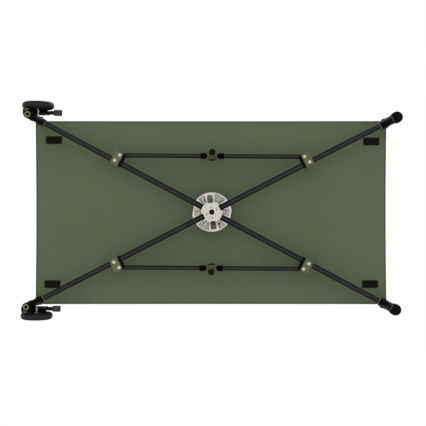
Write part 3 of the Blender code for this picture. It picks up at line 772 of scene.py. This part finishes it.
def make_half_strut(corner, end, side, body):
    """Half a side strut, with a two-part rubber boot on its inner end."""
    x, y = strut_rivet()
    at = shift(HUB_X + end * x, side * y, PIN_Z) @ turn(pi if end > 0 else 0)
    length, tip = x - 0.066, x - 0.0275
    tube = finish_piece(f"strut_{corner}", pipe(STRUT_R, 0.002, -0.012, length - 0.0002, 40), "tube", None,
                        replaces=[f"strut_tube_{corner}"])
    tube.data.transform(ALONG_X)
    carve(tube, [drill(0.0044, -0.03, 0.03, segments=20)])
    groove, waist = PLUG_R - 0.0035, length + 0.0125
    profile = [
        (0, tip), (PLUG_END_R - 0.001, tip), (PLUG_END_R, tip - 0.001), (PLUG_END_R, tip - 0.009),
        (PLUG_R - 0.002, tip - 0.012), (PLUG_R, tip - 0.0145), (PLUG_R, waist + 0.0025),
        (groove, waist + 0.0006), (groove, waist - 0.0006), (PLUG_R, waist - 0.0025),
        (PLUG_R, length + 0.0025), (PLUG_R - 0.002, length + 0.0004), (0.0102, length + 0.0003),
        (0.0102, length - 0.02), (0, length - 0.02),
    ]
    plug = finish_piece(f"plug_{corner}", lathe(profile, 40), "rubber", None,
                        replaces=[f"strut_plug_{corner}"])
    plug.data.transform(ALONG_X)
    slant = shift(tip, 0, 0.010) @ turn(radians(-28), "Y")
    carve(plug, [moved(slab((-0.06, 0.03), (-0.03, 0.03), (-0.04, 0), 0.001), slant)])
    for piece in (tube, plug):
        settle(piece, at, body, sharp=32)


def make_middle(name, side):
    """The middle fitting: a cast block with a collar, and the leg under it."""
    body = f"middle_{name}"
    at = shift(HUB_X, side * strut_rivet()[1], 0)
    low, high = 0.298, 0.350
    block = slab((-0.0243, 0.0243), (-0.0223, 0.0223), (low + 0.002, high), 0.008)
    fitting = finish_piece(f"middle_block_{name}", block, "olive_block", None,
                           replaces=[f"middle_fitting_{name}"])
    notches = [
        slab((x0, x1), (-0.0180, 0.0180), (0.3290, high + 0.01), 0.003)
        for x0, x1 in ((-0.03, -0.0155), (0.0155, 0.03))
    ]
    grooves = [
        slab((x0, x1), (-0.03, 0.03), (low - 0.01, low + 0.006), 0.0003)
        for x0, x1 in ((-0.0192, -0.0180), (0.0180, 0.0192))
    ]
    carve(fitting, notches + grooves)
    carve(fitting, [drill(0.0175, low - 0.004, low + 0.0035, segments=40)], "UNION")
    settle(fitting, at, body, ease=0.0010)
    flange = slab((-0.0225, 0.0225), span(side, -0.0205, -0.0248), (low + 0.0005, 0.336), 0.0015)
    finish_piece(f"middle_flange_{name}", flange, "olive_dark", body, at, bevel=0.0006)
    for hand in (1, -1):
        bolt_at = at @ shift(0, hand * (0.0225 if hand == side else 0.0248), 0.325) @ towards(hand)
        finish_piece(f"middle_bolt_{name}_{hand + 2}", hex_bolt(0.0058, 0.0042), "steel_black", body, bolt_at)
    leg = lathe([(0, 0.2935), (0.014, 0.2935), (0.014, 0.030), (0, 0.030)], 40)
    finish_piece(f"middle_post_{name}", leg, "olive_block", body, at, replaces=[f"middle_leg_{name}"])
    tip = lathe([
        (0, 0.0305), (0.0142, 0.0305), (0.0150, 0.0310), (0.0165, 0.0295), (0.017, 0.026), (0.017, 0.020),
        (0.0162, 0.019), (0.0162, 0.016), (0.017, 0.015), (0.017, 0.003), (0.0158, 0.0006), (0.0145, 0),
        (0.006, 0), (0.005, 0.0008), (0, 0.0008),
    ], 48)
    finish_piece(f"middle_tip_{name}", tip, "olive_dark", body, at)


# Wheels, brackets and pedals


def make_wheel(name, side, leg_at):
    """A soft tyre on a spoked nylon rim."""
    body = f"wheel_{name}"
    centre = leg_at @ shift(AXLE_AT[0], side * WHEEL_OUT, AXLE_AT[1])
    half, tread, rise = WHEEL_HALF, 0.066, 0.017
    profile = [(tread, half - 0.004), (tread + 0.003, half - 0.0012)]
    for k in range(-9, 10):
        a = radians(-k * 9.4)
        groove = 0.0011 if k in (-3, 0, 3) else 0.0
        round_off = abs(cos(a)) ** 0.95
        profile.append((WHEEL_R - rise + rise * round_off - groove, half * sin(a)))
    profile += [(tread + 0.003, -half + 0.0012), (tread, -half + 0.004)]
    tyre = lathe(profile, 96, closed=True)
    finish_piece(f"tyre_{name}", tyre, "tyre", body, centre @ ALONG_Y, smooth=50,
                 replaces=[f"wheel_tyre_{name}"])
    seat, boss, boss_half = tread - 0.0003, 0.016, 0.0155
    hoop = lathe([
        (seat, half - 0.005), (seat, -half + 0.005), (seat - 0.003, -half + 0.0045),
        (seat - 0.005, -half + 0.007), (seat - 0.006, -0.004), (seat - 0.006, 0.004),
        (seat - 0.005, half - 0.007), (seat - 0.003, half - 0.0045),
    ], 96, closed=True)
    hub = lathe([
        (boss, boss_half - 0.002), (boss, -boss_half + 0.002), (boss - 0.002, -boss_half),
        (0.0063, -boss_half), (0.0063, boss_half), (boss - 0.002, boss_half),
    ], 48, closed=True)
    web = lathe([
        (seat - 0.005, 0.0028), (seat - 0.005, -0.0028), (boss - 0.001, -0.0034), (boss - 0.001, 0.0034),
    ], 96, closed=True)
    spokes = []
    for k in range(6):
        for face in (1, -1):
            low, high = sorted((face * 0.002, face * 0.011))
            spoke = slab((boss - 0.001, seat - 0.004), (-0.0024, 0.0024), (low, high), 0.001)
            spokes.append(moved(spoke, turn(k * pi / 3)))
    finish_piece(f"rim_{name}", union(hoop, hub, web, *spokes), "rim", body, centre @ ALONG_Y,
                 replaces=[f"wheel_rim_{name}"])


def make_axle(name, side, leg_at, body):
    """The axle, with spacers beside the bracket and a domed nut in the wheel's outer face."""
    at = leg_at @ shift(AXLE_AT[0], 0, AXLE_AT[1]) @ towards(side)
    axle = lathe([
        (0, AXLE_END), (0.0052, AXLE_END), (0.006, AXLE_END - 0.0008), (0.006, 0.0038), (0.0052, 0.003),
        (0, 0.003),
    ], 32)
    finish_piece(f"axle_{name}", axle, "steel", body, at, replaces=[f"wheel_axle_{name}"])
    nut = lathe([
        (0, 0.0016), (0.004, 0.0015), (0.0072, 0.0006), (0.0085, 0), (0.0092, -0.0006), (0.0092, -0.0030),
        (0, -0.0030),
    ], 6)
    finish_piece(f"axle_nut_{name}", nut, "steel", body, at @ shift(0, 0, AXLE_END + 0.0002), bevel=0.0003)
    spacer = lathe([
        (0.0098, 0.0386), (0.0102, 0.0382), (0.0102, 0.0346), (0.0098, 0.0342), (0.0062, 0.0342),
        (0.0062, 0.0386),
    ], 32, closed=True)
    finish_piece(f"axle_spacer_{name}", spacer, "steel", body, at)


def make_bracket(name, side, leg_at, body):
    """A channel banded to the leg, open below. It carries the axle and the brake pedal."""
    leg_r = LEG_R["head"]
    outer = slab((0.006, 0.085), span(side, BRACKET_NEAR, BRACKET_FAR), (0.056, 0.166), 0.004)
    bracket = finish_piece(f"bracket_{name}", outer, "cast_black", None, replaces=[f"wheel_bracket_{name}"])
    band = lathe([
        (0, 0.150), (0.0215, 0.150), (0.0225, 0.149), (0.0225, 0.111), (0.0215, 0.110), (0, 0.110),
    ], 56)
    carve(bracket, [band], "UNION")
    walls = span(side, BRACKET_NEAR + 0.003, BRACKET_FAR - 0.003)
    hollow = slab((0.024, 0.100), walls, (BRACKET_CUT_LOW, 0.162), 0.002)
    hole = moved(drill(0.0064, 0, 0.1), shift(AXLE_AT[0], 0, AXLE_AT[1]) @ towards(side))
    slant = shift(0.052, 0, 0.056) @ turn(radians(-46), "Y")
    slope = moved(slab((0, 0.08), (-0.06, 0.06), (-0.05, 0), 0.001), slant)
    slot_x = (AXLE_AT[0] - 0.0064, AXLE_AT[0] + 0.0064)
    slot = slab(slot_x, span(side, 0, 0.05), (BRACKET_CUT_LOW, AXLE_AT[1]), 0.0005)
    carve(bracket, [hollow, drill(leg_r + 0.0003, 0.02, 0.2, segments=56), hole, slot, slope])
    settle(bracket, leg_at, body, ease=0.0007, limit=60)
    for index, (y, facing) in enumerate(((BRACKET_NEAR, -side), (BRACKET_FAR, side))):
        bolt_at = leg_at @ shift(PEDAL_AT[0], side * y, PEDAL_AT[2]) @ towards(facing)
        finish_piece(f"pedal_bolt_{name}_{index + 1}", hex_bolt(0.005, 0.0030), "steel", body, bolt_at)
    for k, z in enumerate((0.118, 0.142)):
        bolt_at = leg_at @ turn(side * radians(-58)) @ shift(-0.0222, 0, z) @ INWARD
        finish_piece(f"band_screw_{name}_{k + 1}", hex_bolt(0.0045, 0.0030), "steel_black", body, bolt_at)


def make_pedal(name, side, leg_at):
    """The brake pedal: a cam in the bracket, a flat bar and a rubber grip with a ribbed tread."""
    body = f"pedal_{name}"
    inboard, outward, height = PEDAL_AT
    at = leg_at @ shift(inboard, side * outward, height)
    cam = lathe([
        (0.0033, 0.0073), (0.0082, 0.0073), (0.009, 0.0065), (0.009, -0.0065), (0.0082, -0.0073),
        (0.0033, -0.0073),
    ], 40, closed=True)
    neck = slab((0.004, 0.0200), (-0.0072, 0.0072), (-0.0058, 0.0058), 0.002)
    bar = slab((0.0186, 0.0800), (-0.0098, 0.0098), (-0.0058, 0.0058), 0.002)
    shoe = slab((-0.026, -0.004), (-0.0068, 0.0068), (-0.0045, 0.0045), 0.002)
    finish_piece(f"pedal_{name}", union(moved(cam, ALONG_Y), neck, bar, shoe), "steel_black", body, at,
                 bevel=0.0006, replaces=[f"pedal_lever_{name}"])
    start, end = 0.0432, 0.0858
    grip = slab((start, end), (-0.0154, 0.0154), (-0.0088, 0.0088), 0.005)
    finish_piece(f"grip_{name}", grip, "grip", body, at, bevel=0.0012, replaces=[f"pedal_grip_{name}"])
    ribs = []
    for k in range(6):
        x = start + 0.0045 + k * 0.0056
        for low, high in ((0.0084, 0.0094), (-0.0094, -0.0084)):
            ribs.append(slab((x, x + 0.0044), (-0.0120, 0.0120), (low, high), 0.0012))
    finish_piece(f"grip_tread_{name}", union(*ribs), "grip_pad", body, at, bevel=0.0004)


def make_pins():
    """Domed heads on the pins that the arms fold about."""
    for index, angle in enumerate(arm_angles()):
        at = shift(HUB_X + PIN_REACH * cos(angle), PIN_REACH * sin(angle), PIN_Z) @ turn(angle) @ towards(-1)
        pin = lathe([
            (0, 0.0255), (0.0032, 0.0255), (0.004, 0.0247), (0.004, -0.0247), (0.0032, -0.0255), (0, -0.0255),
        ], 24)
        finish_piece(f"arm_pin_{index + 1}", pin, "steel", "hub", at, replaces=[f"hub_pin_{index + 1}"])


# Fabric


def sheet_height(x, y):
    """The taut sheet's middle surface: a slight sag, and fine pull lines out of each corner."""
    u, v = x / SHEET_HALF_X, y / SHEET_HALF_Y
    sag = -0.0020 * max(0.0, 1 - u * u) * max(0.0, 1 - v * v)
    ripple = 0.0
    for sx in (1, -1):
        for sy in (1, -1):
            dx, dy = SHEET_HALF_X - sx * x, SHEET_HALF_Y - sy * y
            reach = hypot(dx, dy)
            bearing = atan2(dy, dx)
            fade = min(1.0, reach / 0.05) * max(0.0, 1 - reach / 0.42) ** 2
            ripple += 0.0008 * fade * sin(bearing * 15.0)
    drift = 0.0007 * noise.noise(Vector((x * 3.1, y * 3.1, 0.3)))
    return SHEET_LOW + 0.0022 + sag + ripple + drift


def sheet_point(x, y):
    """Pulls the head and foot edges in a little between the corners, as a taut sheet does."""
    u, v = x / SHEET_HALF_X, y / SHEET_HALF_Y
    pull_x = 0.0042 * max(0.0, 1 - v * v) * abs(u) ** 6
    pull_y = 0.0012 * max(0.0, 1 - u * u) * abs(v) ** 6
    sx, sy = (1 if x > 0 else -1), (1 if y > 0 else -1)
    return x - sx * pull_x, y - sy * pull_y


def gore(first, second, start, rows, columns):
    """A triangle of sheet from the bed's middle to its edge, or its outer strip from a share of the way."""
    shape = bmesh.new()
    grid = []
    for r in range(rows + 1):
        share = start + (1 - start) * r / rows
        line = []
        for c in range(columns + 1):
            if share == 0 and line:
                line.append(line[0])
                continue
            p = Vector(first).lerp(Vector(second), c / columns) * share
            x, y = sheet_point(p.x, p.y)
            line.append(shape.verts.new((x, y, sheet_height(x, y))))
        grid.append(line)
    for upper, lower in zip(grid, grid[1:]):
        for c in range(columns):
            shape.faces.new(dict.fromkeys((upper[c], upper[c + 1], lower[c + 1], lower[c])))
    return shape


def thicken(piece, thickness):
    """Gives a surface its cloth thickness. Sharp rims keep the seams between gores from showing."""
    solid = piece.modifiers.new("thickness", "SOLIDIFY")
    solid.thickness = thickness
    solid.offset = 0.0
    apply_modifiers(piece)
    piece.data.set_sharp_from_angle(angle=radians(45))


def gather(piece, corner):
    """Fabric that rides on an arm moves with it as the frame folds."""
    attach(piece, f"arm_{corner}")
    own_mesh(piece)


def make_sheet():
    """The bed sheet in eight gores, two for each arm, with a bound hem round the outside."""
    replaced = ["bed_sheet"]
    for corner, (sx, sy) in CORNERS.items():
        tip = (sx * SHEET_HALF_X, sy * SHEET_HALF_Y)
        gores = (
            ("side", (0, tip[1]), SHEET_HALF_Y, SHEET_HALF_X, "hem_x"),
            ("end", (tip[0], 0), SHEET_HALF_X, SHEET_HALF_Y, "hem_y"),
        )
        for kind, edge, half, base, look in gores:
            name = f"{kind}_{corner}"
            piece = finish_piece(f"sheet_{name}", gore(edge, tip, 0.0, 30, 44), "canvas", None, BED,
                                 replaces=replaced)
            replaced = []
            hem = finish_piece(f"hem_{name}", gore(edge, tip, 1 - HEM / half, 2, 60), look, None, BED)
            thicken(piece, 0.0018)
            thicken(hem, 0.0040)
            gather(piece, corner)
            gather(hem, corner)


def make_patches():
    """Hook tape rectangles sewn under the sheet's corners."""
    places = {
        "head_left": (-0.901, -0.411), "head_right": (-0.910, 0.411),
        "foot_left": (0.911, -0.403), "foot_right": (0.904, 0.411),
    }
    half_x, half_y = 0.045, 0.0215
    for corner, (x, y) in places.items():
        shape = slab((x - half_x, x + half_x), (y - half_y, y + half_y), (0.3932, 0.3963), 0.002)
        piece = finish_piece(f"tape_{corner}", shape, "hook_tape", None, TURNED, bevel=0.0004,
                             replaces=[f"patch_{corner}"])
        apply_modifiers(piece)
        gather(piece, corner)


def swell(piece, frames=20, limit=0.012):
    """Inflates a sewn shell by cloth simulation, with each point's travel capped."""
    remesh = piece.modifiers.new("remesh", "REMESH")
    remesh.mode = "VOXEL"
    remesh.voxel_size = 0.006
    apply_modifiers(piece)
    rest = [v.co.copy() for v in piece.data.vertices]
    cloth = piece.modifiers.new("cloth", "CLOTH")
    cloth.settings.use_pressure = True
    cloth.settings.uniform_pressure_force = 4.0
    cloth.settings.effector_weights.gravity = 0.0
    cloth.settings.tension_stiffness = 18
    cloth.settings.compression_stiffness = 10
    cloth.settings.bending_stiffness = 0.6
    cloth.point_cache.frame_start = 1
    cloth.point_cache.frame_end = frames
    for step in range(1, frames + 1):
        bpy.context.scene.frame_set(step)
    apply_modifiers(piece)
    for vertex, start in zip(piece.data.vertices, rest):
        travel = vertex.co - start
        if travel.length > limit:
            vertex.co = start + travel.normalized() * limit
    bpy.context.scene.frame_set(1)


def make_pad():
    """The head pad, in two stuffed halves joined by a seam on the bed's middle line."""
    low, high = 0.4003, 0.448
    near = -SHEET_HALF_X - 0.0045
    far, half_width, inset = near + 0.290, 0.319, 0.004
    for corner in ("head_right", "head_left"):
        side = CORNERS[corner][1]
        outline = rounded((near - 0.001, far - inset), span(side, 0.0006, half_width - inset), 0.020)
        shell = prism(outline, low + 0.003, high - 0.010)
        replaced = ["head_pad"] if side > 0 else []
        piece = finish_piece(f"pad_{corner}", shell, "pad", None, replaces=replaced)
        swell(piece)
        for vertex in piece.data.vertices:
            vertex.co.z = min(max(vertex.co.z, low), high)
            vertex.co.y = side * max(side * vertex.co.y, 0.0004)
            vertex.co.x = max(vertex.co.x, near)
        piece.data.transform(BED)
        piece.data.materials.clear()
        piece.data.materials.append(LOOKS["pad"])
        piece.data.shade_smooth()
        gather(piece, corner)


# Stage


def make_stage():
    """A pale floor that shows from above only, because the camera looks up through it."""
    floor_mesh = bmesh.new()
    bmesh.ops.create_grid(floor_mesh, x_segments=1, y_segments=1, size=30)
    mesh = bpy.data.meshes.new("floor")
    floor_mesh.to_mesh(mesh)
    floor_mesh.free()
    floor = bpy.data.objects.new("floor", mesh)
    bpy.context.collection.objects.link(floor)
    t = Tree("floor_paint")
    t.finish(linear((236, 236, 234)), 0.9)
    clear = t.add("BsdfTransparent")
    behind = t.add("NewGeometry").outputs["Backfacing"]
    mixed = t.add("MixShader", {0: behind, 1: t.shader.outputs[0], 2: clear.outputs[0]})
    output = t.tree.nodes["Material Output"]
    t.tree.links.new(mixed.outputs[0], output.inputs["Surface"])
    mesh.materials.append(t.material)
    floor.visible_shadow = False
    floor.visible_diffuse = False
    floor.visible_glossy = False


def make_light(name, energy, size, location, target=(0, 0, 0.35)):
    """A soft area light that points at the bed and stays out of the picture."""
    data = bpy.data.lights.new(name, "AREA")
    data.energy = energy
    data.size = size
    lamp = bpy.data.objects.new(name, data)
    bpy.context.collection.objects.link(lamp)
    lamp.location = location
    lamp.rotation_euler = (Vector(target) - Vector(location)).to_track_quat("-Z", "Y").to_euler()
    lamp.visible_camera = False


def make_camera():
    """The camera looks straight up from below the floor, at the underside."""
    data = bpy.data.cameras.new("camera")
    half_sensor, half_view, depth = 18, radians(13.9), 4.52
    data.lens = half_sensor / tan(half_view)
    data.clip_end = 100
    camera = bpy.data.objects.new("camera", data)
    bpy.context.collection.objects.link(camera)
    camera.location = (HUB_X + 0.007, 0.005, -depth)
    camera.rotation_euler = (pi, 0, SKEW)
    bpy.context.scene.camera = camera


def make_world():
    """Even white light from all round."""
    world = bpy.data.worlds.new("studio")
    bpy.context.scene.world = world
    world.use_nodes = True
    world.node_tree.nodes["Background"].inputs[0].default_value = (1, 1, 1, 1)
    world.node_tree.nodes["Background"].inputs[1].default_value = 1.0


def main():
    """Builds the stage, then the bed from the hub outwards."""
    make_camera()
    make_world()
    make_stage()
    make_light("key_below", 34, 4.0, (-1.2, -3.4, -3.4))
    make_light("key_above", 90, 3.0, (1.5, -2.5, 3.4))
    bpy.context.scene.view_settings.view_transform = "Standard"
    make_hub()
    make_pins()
    make_sheet()
    make_patches()
    make_pad()
    angles = dict(zip(CORNERS, arm_angles()))
    for corner, (end, side) in CORNERS.items():
        angle, body = angles[corner], f"arm_{corner}"
        at = shift(HUB_X + PIN_REACH * cos(angle), PIN_REACH * sin(angle), PIN_Z) @ turn(angle)
        make_arm(corner, at, body)
        make_corner(corner, at, body)
        make_clamp(corner, at, body, end * side)
        make_half_strut(corner, end, side, f"strut_{corner}")
        if end < 0:
            name = corner.split("_")[1]
            leg_at = at @ shift(CORNER_REACH - PIN_REACH, 0, -PIN_Z) @ turn(-angle)
            make_wheel(name, side, leg_at)
            make_axle(name, side, leg_at, body)
            make_bracket(name, side, leg_at, body)
            make_pedal(name, side, leg_at)
    make_middle("right", 1)
    make_middle("left", -1)


main()
